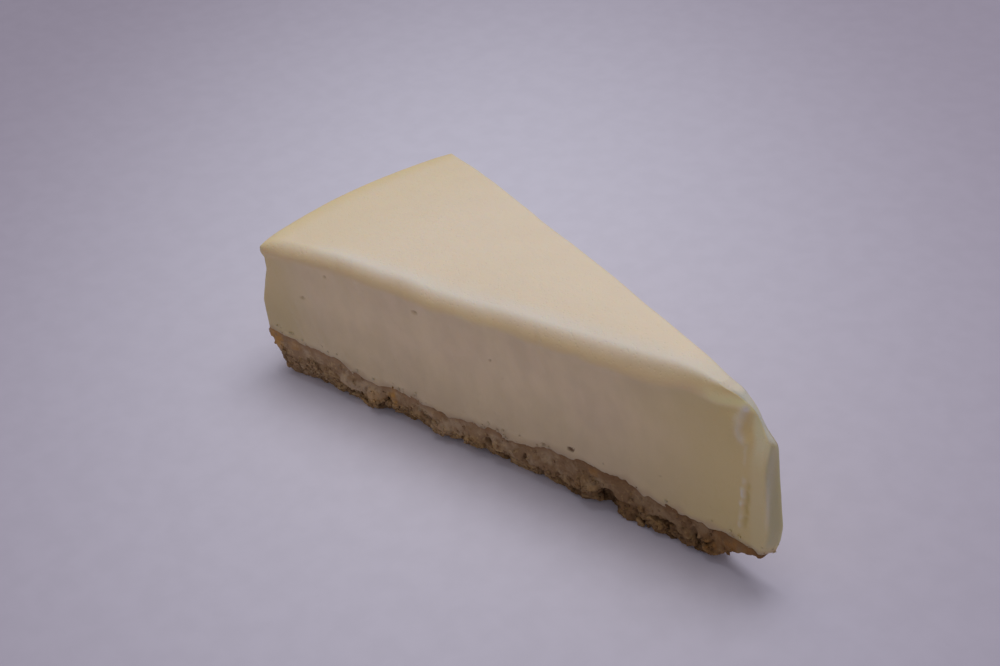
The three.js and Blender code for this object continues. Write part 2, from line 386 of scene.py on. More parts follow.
@dataclass(frozen=True)
class CustardFinish:
    """Soft baked custard: a faintly sheened yellow skin over a pale, smeared, porous cut."""

    cut: Colour = (0.87, 0.685, 0.445)
    cloud: Colour = (0.84, 0.655, 0.435)
    # low: painted shade, which darkens the cut towards the crust
    low: Colour = (0.77, 0.77, 0.75)
    mottle: Colour = (0.94, 0.94, 0.93)
    band: Colour = (0.83, 0.63, 0.36)
    # tip: yellower towards the thin nose, a painted glow of light shining through it; near the outer side, the baked
    # golden colour
    tip: Colour = (0.77, 0.605, 0.295)
    bare: Colour = (0.80, 0.72, 0.46)
    # Painted shade: a darker, greyer colour on the nose's end face.
    painted_nose_end_shade: Colour = (0.56, 0.50, 0.30)
    # Painted shade: a greyer, darker colour on the nose's top chamfer and on the top near the nose.
    blunt: Colour = (0.65, 0.62, 0.535)
    lip: Colour = (0.96, 0.85, 0.46)
    foot: Colour = (0.50, 0.355, 0.225)
    top: Colour = (0.90, 0.76, 0.59)
    # edge: a paler band along the front lip, partly the skin's own colour and partly a painted highlight of the lamp's
    # sheen
    edge: Colour = (0.87, 0.80, 0.71)
    rim: Colour = (0.84, 0.68, 0.41)
    groove: Colour = (0.62, 0.47, 0.18)
    scuff: Colour = (0.80, 0.74, 0.66)
    # pit: painted shade inside the pores
    pit: Colour = (0.50, 0.37, 0.20)
    speck: Colour = (0.16, 0.085, 0.035)
    cloud_mm: float = 14.0
    mottle_mm: float = 4.5
    mottle_stretch: tuple = (1.0, 1.0, 1.6)
    smear_mm: float = 1.6
    smear_stretch: tuple = (1.0, 1.0, 5.0)
    smear_depth_mm: float = 0.10
    pores_mm: float = 0.9
    pores_depth_mm: float = 0.05
    grain_mm: float = 0.35
    grain_depth_mm: float = 0.03

    def build(self) -> bpy.types.Material:
        """Builds the material."""
        s = Shading("custard_cream")
        cut = s.mix(s.ease(s.noise(self.cloud_mm, 2.0), 0.35, 0.65), self.cut, self.cloud)
        patches = s.ease(s.noise(self.mottle_mm, 2.0, self.mottle_stretch), 0.3, 0.7)
        cut = s.mix(patches, cut, s.mix(1.0, cut, self.mottle, "MULTIPLY"))
        # Painted glow at the thin nose, baked colour near the outer side.
        cut = s.mix(s.value("tip"), cut, self.tip)
        cut = s.mix(s.value("bare"), cut, self.bare)
        # Painted shade: the cut is multiplied darker towards the crust.
        cut = s.mix(s.value("low"), cut, s.mix(1.0, cut, self.low, "MULTIPLY"))
        # The nose's end face gets painted shade here; the others are the custard's own colours.
        for name in ("painted_nose_end_shade", "foot", "band", "lip", "groove", "scuff"):
            cut = s.mix(s.value(name), cut, getattr(self, name))
        top = s.mix(s.value("rim"), self.top, self.rim)
        # Partly a painted highlight along the front lip.
        top = s.mix(s.value("edge"), top, self.edge)
        colour = s.mix(s.value("top"), cut, top)
        # The nose's chamfer and the pores get painted shade here; specks are dark crumb.
        for name in ("blunt", "pit", "speck"):
            colour = s.mix(s.value(name), colour, getattr(self, name))
        smear = s.bump(s.noise(self.smear_mm, 4.0, self.smear_stretch), self.smear_depth_mm)
        pores = s.bump(s.ease(s.cells(self.pores_mm), 0.0, 0.35), self.pores_depth_mm, smear)
        grain = s.bump(s.noise(self.grain_mm, 2.0), self.grain_depth_mm, pores)
        return s.finish(
            {
                "Base Color": colour,
                "Roughness": s.ease(s.noise(5.0), 0.3, 0.7, 0.62, 0.46),
                "IOR": 1.42,
                "Subsurface Weight": 0.35,
                "Subsurface Radius": (1.0, 0.75, 0.45),
                "Subsurface Scale": 0.0025,
                "Normal": grain,
            }
        )


@dataclass(frozen=True)
class CrumbFinish:
    """Pressed biscuit crumbs: brown and packed under the custard, golden and broken towards the foot."""

    packed: Colour = (0.28, 0.174, 0.096)
    smear: Colour = (0.41, 0.297, 0.197)
    seam: Colour = (0.25, 0.135, 0.065)
    dark: Colour = (0.17, 0.09, 0.038)
    brown: Colour = (0.29, 0.165, 0.068)
    golden: Colour = (0.43, 0.265, 0.10)
    pale: Colour = (0.57, 0.40, 0.205)
    toasted: Colour = (0.42, 0.215, 0.06)
    # hollow: painted shade in the clefts and gaps between crumbs
    hollow: Colour = (0.13, 0.07, 0.03)
    # inner and outer: painted light and shade, darker towards the cake's middle and lighter towards the outer side
    inner: Colour = (0.76, 0.68, 0.55)
    outer: Colour = (1.24, 1.25, 1.24)
    smear_mm: float = 4.0
    pale_mm: float = 0.9
    dark_mm: float = 1.1
    rough_mm: float = 0.6
    rough_depth_mm: float = 0.15
    fine_mm: float = 0.22
    fine_depth_mm: float = 0.06

    def build(self) -> bpy.types.Material:
        """Builds the material."""
        s = Shading("biscuit_crumb")
        tone = s.value("tone")
        grain = s.mix(s.ease(tone, 0.15, 0.45), self.dark, self.brown)
        grain = s.mix(s.ease(tone, 0.45, 0.75), grain, self.golden)
        grain = s.mix(s.ease(tone, 0.8, 0.95), grain, self.pale)
        packed = s.mix(s.ease(s.noise(self.smear_mm, 4.0), 0.42, 0.62, 0.85), self.packed, self.smear)
        colour = s.mix(s.value("packed"), grain, packed)
        colour = s.mix(s.ease(s.noise(self.pale_mm, 2.0), 0.52, 0.72, 0.4), colour, self.pale)
        colour = s.mix(s.ease(s.noise(self.dark_mm, 2.0), 0.46, 0.28, 0.42), colour, self.dark)
        for name in ("seam", "toasted", "hollow"):
            # Painted shade in the clefts here; seam and toasted are the crumb's own colours.
            colour = s.mix(s.value(name), colour, getattr(self, name))
        # Painted light and shade: darker towards the middle, lighter towards the outer side.
        colour = s.mix(1.0, colour, s.mix(s.value("painted_light_outward"), self.inner, self.outer), "MULTIPLY")
        rough = s.bump(s.noise(self.rough_mm, 4.0), self.rough_depth_mm)
        fine = s.bump(s.noise(self.fine_mm, 2.0), self.fine_depth_mm, rough)
        return s.finish(
            {
                "Base Color": colour,
                "Roughness": 0.85,
                "IOR": 1.4,
                "Subsurface Weight": 0.08,
                "Subsurface Radius": (1.0, 0.5, 0.25),
                "Subsurface Scale": 0.001,
                "Normal": fine,
            }
        )


@dataclass(frozen=True)
class TableFinish:
    """Plain matte card in a pale lavender grey, with a painted pool of light: lighter near the slice, darker away from
    it.
    """

    # near and far: painted pool of light on the card
    near: Colour = (0.78, 0.762, 0.905)
    far: Colour = (0.49, 0.445, 0.565)
    grain: Colour = (0.97, 0.97, 0.97)
    middle_mm: tuple = (-66.0, 30.0)
    turn_deg: float = 52.4
    half_mm: tuple = (170.0, 315.0)

    def build(self) -> bpy.types.Material:
        """Builds the material."""
        s = Shading("pale_card")
        settings = {
            "Vector": s.place,
            "Location": (self.middle_mm[0] * MM, self.middle_mm[1] * MM, 0.0),
            "Rotation": (0.0, 0.0, math.radians(self.turn_deg)),
            "Scale": (self.half_mm[0] * MM, self.half_mm[1] * MM, 1.0),
        }
        spot = s.node("ShaderNodeMapping", settings, vector_type="TEXTURE").outputs[0]
        away = s.node("ShaderNodeVectorMath", {0: spot}, operation="LENGTH").outputs["Value"]
        # Painted pool of light: lighter near the slice, darker further out.
        colour = s.mix(s.ease(away, 0.0, 1.0), self.near, self.far)
        colour = s.mix(s.ease(s.noise(6.0, 2.0), 0.3, 0.7), colour, s.mix(1.0, colour, self.grain, "MULTIPLY"))
        return s.finish({"Base Color": colour, "Roughness": 0.95, "Specular IOR Level": 0.1})


# The custard


@dataclass(frozen=True)
class Pit:
    """A hole in a cut: how far it is from the cake's middle, its height, its size, and how full of dark crumb it is."""

    r: float
    z: float
    width: float
    height: float
    depth: float
    crumb: float = 0.0


@dataclass(frozen=True)
class CustardRelief:
    """What the knife, the tin and the oven left on the custard's faces, in millimetres."""

    lip: float = 0.12
    lip_depth: float = 3.6
    hollow: float = 0.12
    smear: float = 0.08
    ridge_x: float = -2.0
    ridge_lean: float = 0.09
    ridge: float = 0.5
    dent_x: float = -2.0
    dent_z: float = 36.3
    dent_half: tuple = (1.9, 3.7)
    dent_depth: float = 0.4
    edge_x: float = 3.4
    side_rough: float = 0.4
    pit_count: int = 5
    known_pits: tuple = (
        Pit(81.2, 33.1, 0.9, 0.45, 0.5),
        Pit(115.1, 24.7, 0.7, 0.5, 0.4),
        Pit(106.6, 33.1, 0.5, 0.4, 0.3),
        Pit(43.6, 12.6, 1.0, 0.6, 0.35, 1.0),
        Pit(50.6, 10.9, 0.6, 0.4, 0.4, 0.4),
    )

    def pits(self, salt: float) -> list[Pit]:
        """Scatters pits over a cut by a seeded rule."""
        made = []
        for n in range(self.pit_count):
            a, b, c = (float(lattice_hash(n, k, salt)) for k in range(3))
            size = 0.25 + 0.3 * c * c
            made.append(Pit(10.0 + 112.0 * a, 13.0 + 26.0 * b, size, size * 0.8, 0.15 + 0.25 * c))
        return made

    def pit_field(self, pits: list[Pit], r: Array, z: Array) -> tuple[Array, Array, Array]:
        """Sums up pits.

        Args:
            pits: the pits.
            r, z: places on the cut.

        Returns:
            How deep the face lies there, how far inside a pit it is, from 0 to 1, and how much dark crumb it shows.
        """
        depth, inside, crumb = np.zeros(r.shape), np.zeros(r.shape), np.zeros(r.shape)
        for pit in pits:
            q = ((r - pit.r) / pit.width) ** 2 + ((z - pit.z) / pit.height) ** 2
            share = np.clip(1.0 - q, 0.0, 1.0)
            depth = np.maximum(depth, pit.depth * share)
            inside = np.maximum(inside, share)
            crumb = np.maximum(crumb, pit.crumb * ease(share, 0.1, 0.5))
        return depth, inside, crumb

    def lip_thickness(self, r: Array) -> Array:
        """Gives how far the skin reaches down over a cut."""
        wavy = 0.35 * noise(13.0, r, 2.0) + 0.2 * noise(4.0, r, 9.0)
        return self.lip_depth * (1.0 + 0.4 * wavy)

    def cut_face(self, r: Array, z: Array, below: Array, above: Array, salt: float) -> Array:
        """Gives the relief of a knife cut.

        Args:
            r: distance from the cake's middle.
            z: height.
            below: depth under the top.
            above: height over the crust.
            salt: another salt gives another cut.

        Returns:
            How far the face stands out.
        """
        across, along = 0.927 * r - 0.375 * z, 0.375 * r + 0.927 * z
        patch = 0.35 + 0.65 * ease(noise(26.0, r, z, salt), -0.2, 0.5)
        relief = 0.10 * noise(15.0, r, z, salt) + 0.04 * noise(4.5, r, z, salt) + 0.02 * noise(1.9, r, z, salt)
        relief += self.smear * patch * noise(1.0, across / 1.3, along / 17.0, salt)
        relief += 0.5 * self.smear * patch * noise(1.0, across / 0.7, along / 8.0, salt + 1.0)
        thick = self.lip_thickness(r + salt)
        lip = ease(below, 0.5, 2.5) * (1.0 - ease(below / thick, 0.8, 1.2))
        relief += self.lip * (1.0 + 0.6 * noise(10.0, r, salt)) * lip
        relief -= self.hollow * window(below / thick, (0.9, 1.3), (1.6, 3.0))
        relief += 0.22 * (1.0 - ease(above, 0.1, 1.5)) * (0.4 + noise(4.0, r, salt))
        return relief

    def ridge_line(self, z: Array) -> Array:
        """Gives where the torn ridge beside the nose runs, as x at a height."""
        return self.ridge_x - self.ridge_lean * np.maximum(24.5 - z, 0.0) + 0.15 * noise(1.3, z, 4.0)

    def dent_reach(self, x: Array, z: Array) -> Array:
        """Is 0 in the middle of the nose's dent and 1 on its rim."""
        even = np.hypot((x - self.dent_x) / self.dent_half[0], (z - self.dent_z) / self.dent_half[1])
        return even * (1.0 + 0.16 * noise(2.6, x, z, 5.0) + 0.1 * noise(1.1, x, z, 6.0))

    def scuff(self, x: Array, z: Array) -> Array:
        """Is 1 where the nose is smeared pale: the ridge, the dent's left rim, and the nose's front edge."""
        ragged = np.clip(0.5 + 0.8 * noise(1.1, z, 8.0), 0.0, 1.0)
        ridge = bump(x, self.ridge_line(z), 0.5) * ragged * window(z, (11.5, 13.0), (24.0, 25.5))
        tail = 0.22 * bump(x, self.ridge_line(z), 0.35) * window(z, (27.0, 29.0), (32.0, 33.5))
        rim = 0.5 * bump(self.dent_reach(x, z), 0.95, 0.3) * ease(self.dent_x + 0.2 - x, 0.0, 1.2)
        tick = 0.8 * bump(x, self.dent_x - 1.2, 0.55) * bump(z, 39.4, 0.6)
        edge = 0.25 * bump(x, self.edge_x, 0.4) * window(z, (14.0, 18.0), (33.0, 35.0))
        return np.clip(0.85 * ridge + tail + rim + tick + edge, 0.0, 1.0)

    def groove(self, x: Array, z: Array) -> Array:
        """Is 1 in the groove beside the ridge, where the custard under the smeared face shows yellow."""
        ragged = np.clip(0.75 + 0.6 * noise(0.9, z, 11.0), 0.0, 1.0)
        return bump(x, self.ridge_line(z) + 1.15, 0.55) * window(z, (12.0, 14.0), (23.0, 25.0)) * ragged

    def nose(self, x: Array, z: Array) -> Array:
        """Gives the ridge, the groove beside it and the dent near the nose."""
        line = self.ridge_line(z)
        ragged = np.clip(0.55 + 0.8 * noise(1.1, z, 8.0), 0.1, 1.0)
        low = window(z, (10.5, 13.0), (23.0, 26.0))
        high = window(z, (24.0, 27.0), (32.0, 34.0))
        relief = self.ridge * ragged * bump(x, line, 0.42) * (low + 0.25 * high)
        relief -= 0.32 * self.groove(x, z)
        q = self.dent_reach(x, z)
        relief -= self.dent_depth * (1.0 - ease(q, 0.1, 1.0)) * (1.0 - 0.5 * ease(x, self.dent_x, self.dent_x + 2.0))
        left = ease(self.dent_x + 1.0 - x, 0.0, 1.6)
        return relief + 0.22 * left * bump(q, 1.06, 0.2)

    def outer_side(self, y: Array, z: Array) -> Array:
        """Gives the torn, ribbed face that came off the tin's wall."""
        calm = 1.0 - 0.75 * ease(z, 30.0, 34.0)
        ribs = 0.16 * noise(1.0, y / 1.1, z / 11.0, 31.0)
        torn = self.side_rough * noise(3.2, y, z, 12.0) + 0.5 * self.side_rough * noise(1.4, y, z, 3.0)
        return calm * (ribs + torn + 0.12 * noise(0.8, y, z, 5.0))

    def top(self, x: Array, y: Array) -> Array:
        """Gives the baked top's slight waves."""
        return 0.12 * noise(19.0, x, y, 1.0) + 0.04 * noise(6.0, x, y, 2.0) + 0.012 * noise(1.6, x, y, 3.0)


@dataclass
class BakedCustard:
    """The custard layer: two cuts, a blunt nose, the outer side and a domed top with rounded edges."""

    form: SliceForm = FORM
    relief: CustardRelief = CustardRelief()
    finish: CustardFinish = CustardFinish()
    along: int = 290
    across: int = 72
    wall: int = 76
    rounding: int = 14
    front_round: float = 2.8
    back_round: float = 1.3
    side_round: float = 1.7
    nose_turn: float = 0.5
    front_tall: float = 4.5
    back_tall: float = 1.7
    nose_tall: tuple = (3.4, 0.8)
    nose_sharp: float = 0.2
    front_sag_width: float = 20.0
    back_sag_width: float = 8.0
    front_places: tuple = (6.0, 14.0, 22.0, 34.0, 54.0, 64.0, 74.0, 80.0, 85.0, 90.0, 97.0, 107.0, 125.0)
    front_drops: tuple = (0.0, 0.5, 1.9, 2.0, 2.0, 2.8, 2.7, 2.1, 1.45, 1.4, 0.8, 0.0, 0.25)
    back_places: tuple = (60.0, 80.0, 96.0, 113.0, 125.0)
    back_drops: tuple = (0.1, 0.3, -0.2, -0.5, -0.2)
    lean: float = 1.6
    lean_heights: tuple = (18.0, 38.0)
    pinch: float = 2.1
    pinch_heights: tuple = (27.0, 39.5)
    pinch_places: tuple = (-6.5, 0.5)
    pinch_back: float = 2.8
    nose_corner: float = 0.5
    corner_depth: float = 0.5
    corner_share: float = 0.2
    nose_skew: float = 1.3
    nose_round: float = 0.15
    drip: float = 1.2
    drip_start: float = 2.7
    drip_end: float = 4.6
    overlap: float = 0.3
    ragged_foot: float = 0.5
    crowd_nose: float = 0.35
    crowd_edge: float = 0.3

    def spots(self) -> tuple[Array, Array]:
        """Gives the grid's places along and across the slice, closer together at the nose and the edges."""
        u = np.linspace(0.0, 1.0, self.along + 1)
        v = np.linspace(-1.0, 1.0, self.across + 1)
        return u + self.crowd_nose * u * (1.0 - u), v * (1.0 + self.crowd_edge * (1.0 - v * v))

    def front_drop(self, r: Array) -> Array:
        """Gives how far the top sags at the front cut."""
        return np.interp(r, self.front_places, self.front_drops) + 0.12 * noise(6.0, r, 8.0)

    def roof(self, x: Array, y: Array) -> Array:
        """Gives the top's height, which sags towards both cuts, where the knife drew the skin down."""
        f = self.form
        r, front, back = np.hypot(x, y), f.front_width(x), f.back_width(x)
        near_front = np.clip(1.0 - (y + front) / np.minimum(self.front_sag_width, 0.7 * (front + back)), 0.0, 1.2) ** 2
        near_back = np.clip(1.0 - (back - y) / np.minimum(self.back_sag_width, 0.7 * (front + back)), 0.0, 1.2) ** 2
        back_drop = np.interp(r, self.back_places, self.back_drops) + 0.1 * noise(6.0, r, 18.0)
        return f.top_height(x, y) - self.front_drop(r) * near_front - back_drop * near_back

    def round_at(self, x: Array, t: Array) -> Array:
        """Gives how wide the edge's rounding is, no more than the slice's thickness has room for."""
        wanted = self.front_round + (self.back_round - self.front_round) * (t + 1.0) / 2.0
        wavy = 1.0 + 0.16 * noise(12.0, x, 5.0 * t, 6.0)
        sharp = 1.0 - self.nose_sharp * ease(x, -9.0, -3.0)
        return np.minimum(wanted * wavy, 0.75 * self.form.front_width(x)) * sharp

    def tall_at(self, x: Array, s: Array, t: Array) -> Array:
        """Gives how tall the edge's rounding is. It is tallest over the front cut, away from both ends."""
        share = (1.0 - t) / 2.0 * ease(s, 0.0, 0.05)
        wavy = 1.0 + 0.2 * noise(12.0, x, 5.0 * t, 6.0)
        tall = (self.back_tall + (self.front_tall - self.back_tall) * share) * wavy
        nose = self.nose_tall[1] + (self.nose_tall[0] - self.nose_tall[1]) * share
        return tall + (nose - tall) * ease(x, -10.0, -3.0)

    def shift_at(self, x: Array, z: Array) -> Array:
        """Gives how far the front cut leans out towards its top, less how far it is drawn in at the nose's top."""
        share = np.clip(-x / self.form.cake_radius, 0.0, 1.0)
        place = x + self.pinch_back * ease(z, 35.0, 41.0)
        pinch = self.pinch * ease(z, *self.pinch_heights) * ease(place, *self.pinch_places)
        return 4.0 * self.lean * share * (1.0 - share) * ease(z, *self.lean_heights) - pinch

    def point(self, s: Array, t: Array, up: Array, turn: Array) -> Array:
        """Gives points of the even custard.

        Args:
            s: from the outer side, 0, to the nose, 1.
            t: from the front cut, -1, to the back cut, 1.
            up: from the foot of the wall, 0, to the shoulder, 1.
            turn: how far round the edge's rounding, in radians.

        Returns:
            The points, with x, y and z in the last axis.
        """
        f = self.form
        inset = 1.0 - np.cos(turn)
        near = np.maximum(0.0, 1.0 - (1.0 - np.abs(t)) / self.corner_share)
        corner = self.nose_round * t * t + self.nose_corner * np.maximum(-t, 0.0) ** 4
        z = f.crust_height + (f.centre_height - f.crust_height) * up + 0.0 * s
        for _ in range(5):
            side = -(f.cake_radius + f.side_reach(z)) * np.cos(f.slice_angle / 2.0 * t)
            side = side + self.corner_depth * near**2 + inset * self.side_round
            slant = self.nose_skew * (1.0 - t) / 2.0 * (1.0 - ease(z, 33.0, 37.0)) + corner
            x = side + (f.nose_reach(z) - slant - inset * self.nose_turn - side) * s
            front = f.front_width(x) - inset * self.round_at(x, -1.0) + self.shift_at(x, z)
            back = f.back_width(x) - inset * self.round_at(x, 1.0)
            y = -front + (front + back) * (t + 1.0) / 2.0
            ragged = noise(4.6, x, y, 40.0) + 0.8 * noise(1.7, x, y, 41.0) + 0.8 * noise(0.9, x, y, 42.0)
            drip = self.drip * ease(x, self.drip_start, self.drip_end)
            bottom = f.layer_height(x, y) - self.overlap + self.ragged_foot * ragged - drip
            tall = self.tall_at(x, s, t)
            z = bottom + (self.roof(x, y) - tall - bottom) * up + tall * np.sin(turn)
        return np.stack(np.broadcast_arrays(x, y, z), axis=-1)

    def loop(self) -> list[tuple[int, int]]:
        """Gives the grid places round the plan's edge: front cut, nose, back cut, outer side."""
        along, across = self.along, self.across
        edge = [(i, 0) for i in range(along)] + [(along, j) for j in range(across)]
        return edge + [(i, across) for i in range(along, 0, -1)] + [(0, j) for j in range(across, 0, -1)]

    def draft(self) -> MeshDraft:
        """Builds the custard's mesh with its relief and the values that its finish reads."""
        s_all, t_all = self.spots()
        loop = self.loop()
        count, rings = len(loop), self.wall + self.rounding + 1
        s = s_all[[i for i, _ in loop]][None, :]
        t = t_all[[j for _, j in loop]][None, :]
        level = np.arange(rings)[:, None]
        up = np.minimum(level, self.wall) / self.wall
        turn = np.maximum(level - self.wall, 0) / self.rounding * (math.pi / 2.0)
        walls = self.point(s, t, up, turn)
        around = np.roll(walls, -1, 1) - np.roll(walls, 1, 1)
        upward = np.gradient(walls, axis=0)
        normal = np.cross(around, upward)
        normal /= np.linalg.norm(normal, axis=-1, keepdims=True) + 1e-9
        normal[-1] = (0.0, 0.0, 1.0)
        inner = self.point(s_all[1:-1, None], t_all[None, 1:-1], np.float64(1.0), np.float64(math.pi / 2.0))
        points = np.concatenate([walls.reshape(-1, 3), inner.reshape(-1, 3)])
        normals = np.concatenate([normal.reshape(-1, 3), np.tile((0.0, 0.0, 1.0), (inner.size // 3, 1))])
        moved, values = self.shape(points, normals)
        roof = np.zeros((self.along + 1, self.across + 1), int)
        for n, (i, j) in enumerate(loop):
            roof[i, j] = (rings - 1) * count + n
        roof[1:-1, 1:-1] = rings * count + np.arange(inner.shape[0] * inner.shape[1]).reshape(inner.shape[:2])
        return MeshDraft(moved, self.faces(count, rings, roof), values)

    def faces(self, count: int, rings: int, roof: Array) -> list:
        """Gives the faces: the walls, the top, and the flat strips of the hidden underside."""
        ring = np.arange(rings * count).reshape(rings, count)
        low, high = ring[:-1], ring[1:]
        sides = np.stack([low, np.roll(low, -1, 1), np.roll(high, -1, 1), high], -1).reshape(-1, 4)
        tops = np.stack([roof[:-1, :-1], roof[1:, :-1], roof[1:, 1:], roof[:-1, 1:]], -1).reshape(-1, 4)
        along, across = self.along, self.across
        back = along + across + (along - np.arange(along + 1))
        front = np.arange(along + 1)
        under = [[int(front[i]), int(back[i]), int(back[i + 1]), int(front[i + 1])] for i in range(along)]
        nose = list(range(along + across, along - 1, -1))
        outer = [0] + list(range(count - 1, 2 * along + across - 1, -1))
        return sides.tolist() + tops.tolist() + under + [nose, outer]

    def shape(self, points: Array, normals: Array) -> tuple[Array, dict[str, Array]]:
        """Moves points out by the relief of the face that they are on.

        Args:
            points: the even custard's points.
            normals: which way each faces.

        Returns:
            The moved points, and the values for the finish by name.
        """
        f, relief = self.form, self.relief
        x, y, z = points.T
        r = np.hypot(x, y)
        below, above = self.roof(x, y) - z, z - f.layer_height(x, y)
        n_x, n_y, n_z = normals.T
        upright = 1.0 - ease(n_z, 0.15, 0.75)
        front, back = (upright * ease(side, 0.45, 0.8) for side in (-n_y, n_y))
        outer, nose = (upright * ease(side, 0.45, 0.8) for side in (-n_x, n_x))
        facing_up = ease(n_z, 0.3, 0.85)
        # Painted shade on the nose's top chamfer.
        blunt = ease(n_x, 0.25, 0.5) * ease(n_z, 0.25, 0.45) * ease(x, -8.5, -4.0) * ease(z, 33.0, 35.5)
        near_nose = ease(x, -14.0, -6.0)
        calm_nose = 1.0 - 0.7 * ease(x, -8.0, -2.0)
        front_depth, front_pit, speck = relief.pit_field(list(relief.known_pits) + relief.pits(1.0), r, z)
        back_depth, back_pit, _ = relief.pit_field(relief.pits(2.0), r, z)
        move = front * (calm_nose * relief.cut_face(r, z, below, above, 0.0) - front_depth + relief.nose(x, z))
        move += back * (relief.cut_face(r, z, below, above, 50.0) - back_depth)
        move += outer * relief.outer_side(y, z)
        move += nose * (0.06 * noise(1.0, y / 0.5, z / 7.0) + 0.05 * noise(1.6, x, y, z))
        move += facing_up * relief.top(x, y)
        moved = points + normals * move[:, None]
        edge_gap = y + f.front_width(x)
        thick = relief.lip_thickness(r) - 0.5 * self.front_drop(r)
        near_side = ease(r, 112.0, 124.0) * (1.0 - facing_up)
        band = window(below / thick, (0.15, 0.8), (0.95, 1.4))
        bare = window(x + 1.3 * ease(z, 33.0, 38.0), (-1.2, 0.4), (3.6, 4.2)) * (0.3 + 0.7 * ease(z, 28.0, 34.0))
        bare *= 1.0 - ease(z, 40.0, 43.0)
        # Partly a painted highlight: paler along the top's front edge.
        edge = (1.0 - ease(edge_gap, 1.0, 5.5)) * window(r, (2.0, 20.0), (100.0, 118.0)) * 0.7 * ease(n_z, 0.5, 0.95)
        # Painted shade on the cuts: darker towards the crust.
        low = (1.0 - ease(above, 0.0, 20.0)) * 0.8 + 0.2 * ease(x, -75.0, -25.0)
        values = {
            "top": facing_up,
            "band": band,
            "lip": front * band * near_nose,
            "edge": edge,
            "rim": 0.65 * ease(r, 119.0, 125.0) + 0.35 * ease(r, 88.0, 120.0),
            # Painted glow at the thin nose; baked colour near the outer side.
            "tip": np.clip(ease(x, -36.0, -2.0) + 0.6 * near_side, 0.0, 1.0),
            "bare": front * bare,
            # Painted shade towards the crust.
            "low": low * (1.0 - 0.5 * ease(x, -30.0, 0.0)),
            # Painted shade: greyer on the chamfer and on the top near the nose.
            "blunt": np.maximum(blunt, 0.45 * facing_up * ease(x, -20.0, -8.0)),
            # Painted shade on the nose's end face.
            "painted_nose_end_shade": nose * ease(z, 8.0, 12.0),
            "groove": front * relief.groove(x, z),
            "foot": (1.0 - ease(above + 0.6 * noise(2.5, r, z), -0.3, 1.4)) * 0.75,
            "scuff": (front + nose) * relief.scuff(x, z),
            # Painted shade inside the pores.
            "pit": np.clip(front * front_pit + back * back_pit, 0.0, 1.0) * 0.8,
            "speck": front * speck,
            "cling": upright * (1.0 - ease(above, 0.4, 2.4)) * ease(noise(7.0, x, y, 60.0), -0.5, 0.7),
        }
        return moved, values

    def build(self) -> bpy.types.Object:
        """Builds and dresses the piece."""
        piece = self.draft().make("baked_custard")
        attach(piece, self.finish.build(), "custard")
        return piece


# The crumb base


@dataclass(frozen=True)
class Lump:
    """A lump that stands out of the crust's front, or a cleft where out is negative.

    It is placed by its distance from the cake's middle and its height. Toasted is how dark orange it is, and light is
    how much paler than its neighbours.
    """

    r: float
    z: float
    width: float
    height: float
    out: float
    toasted: float = 0.0
    light: float = 0.0


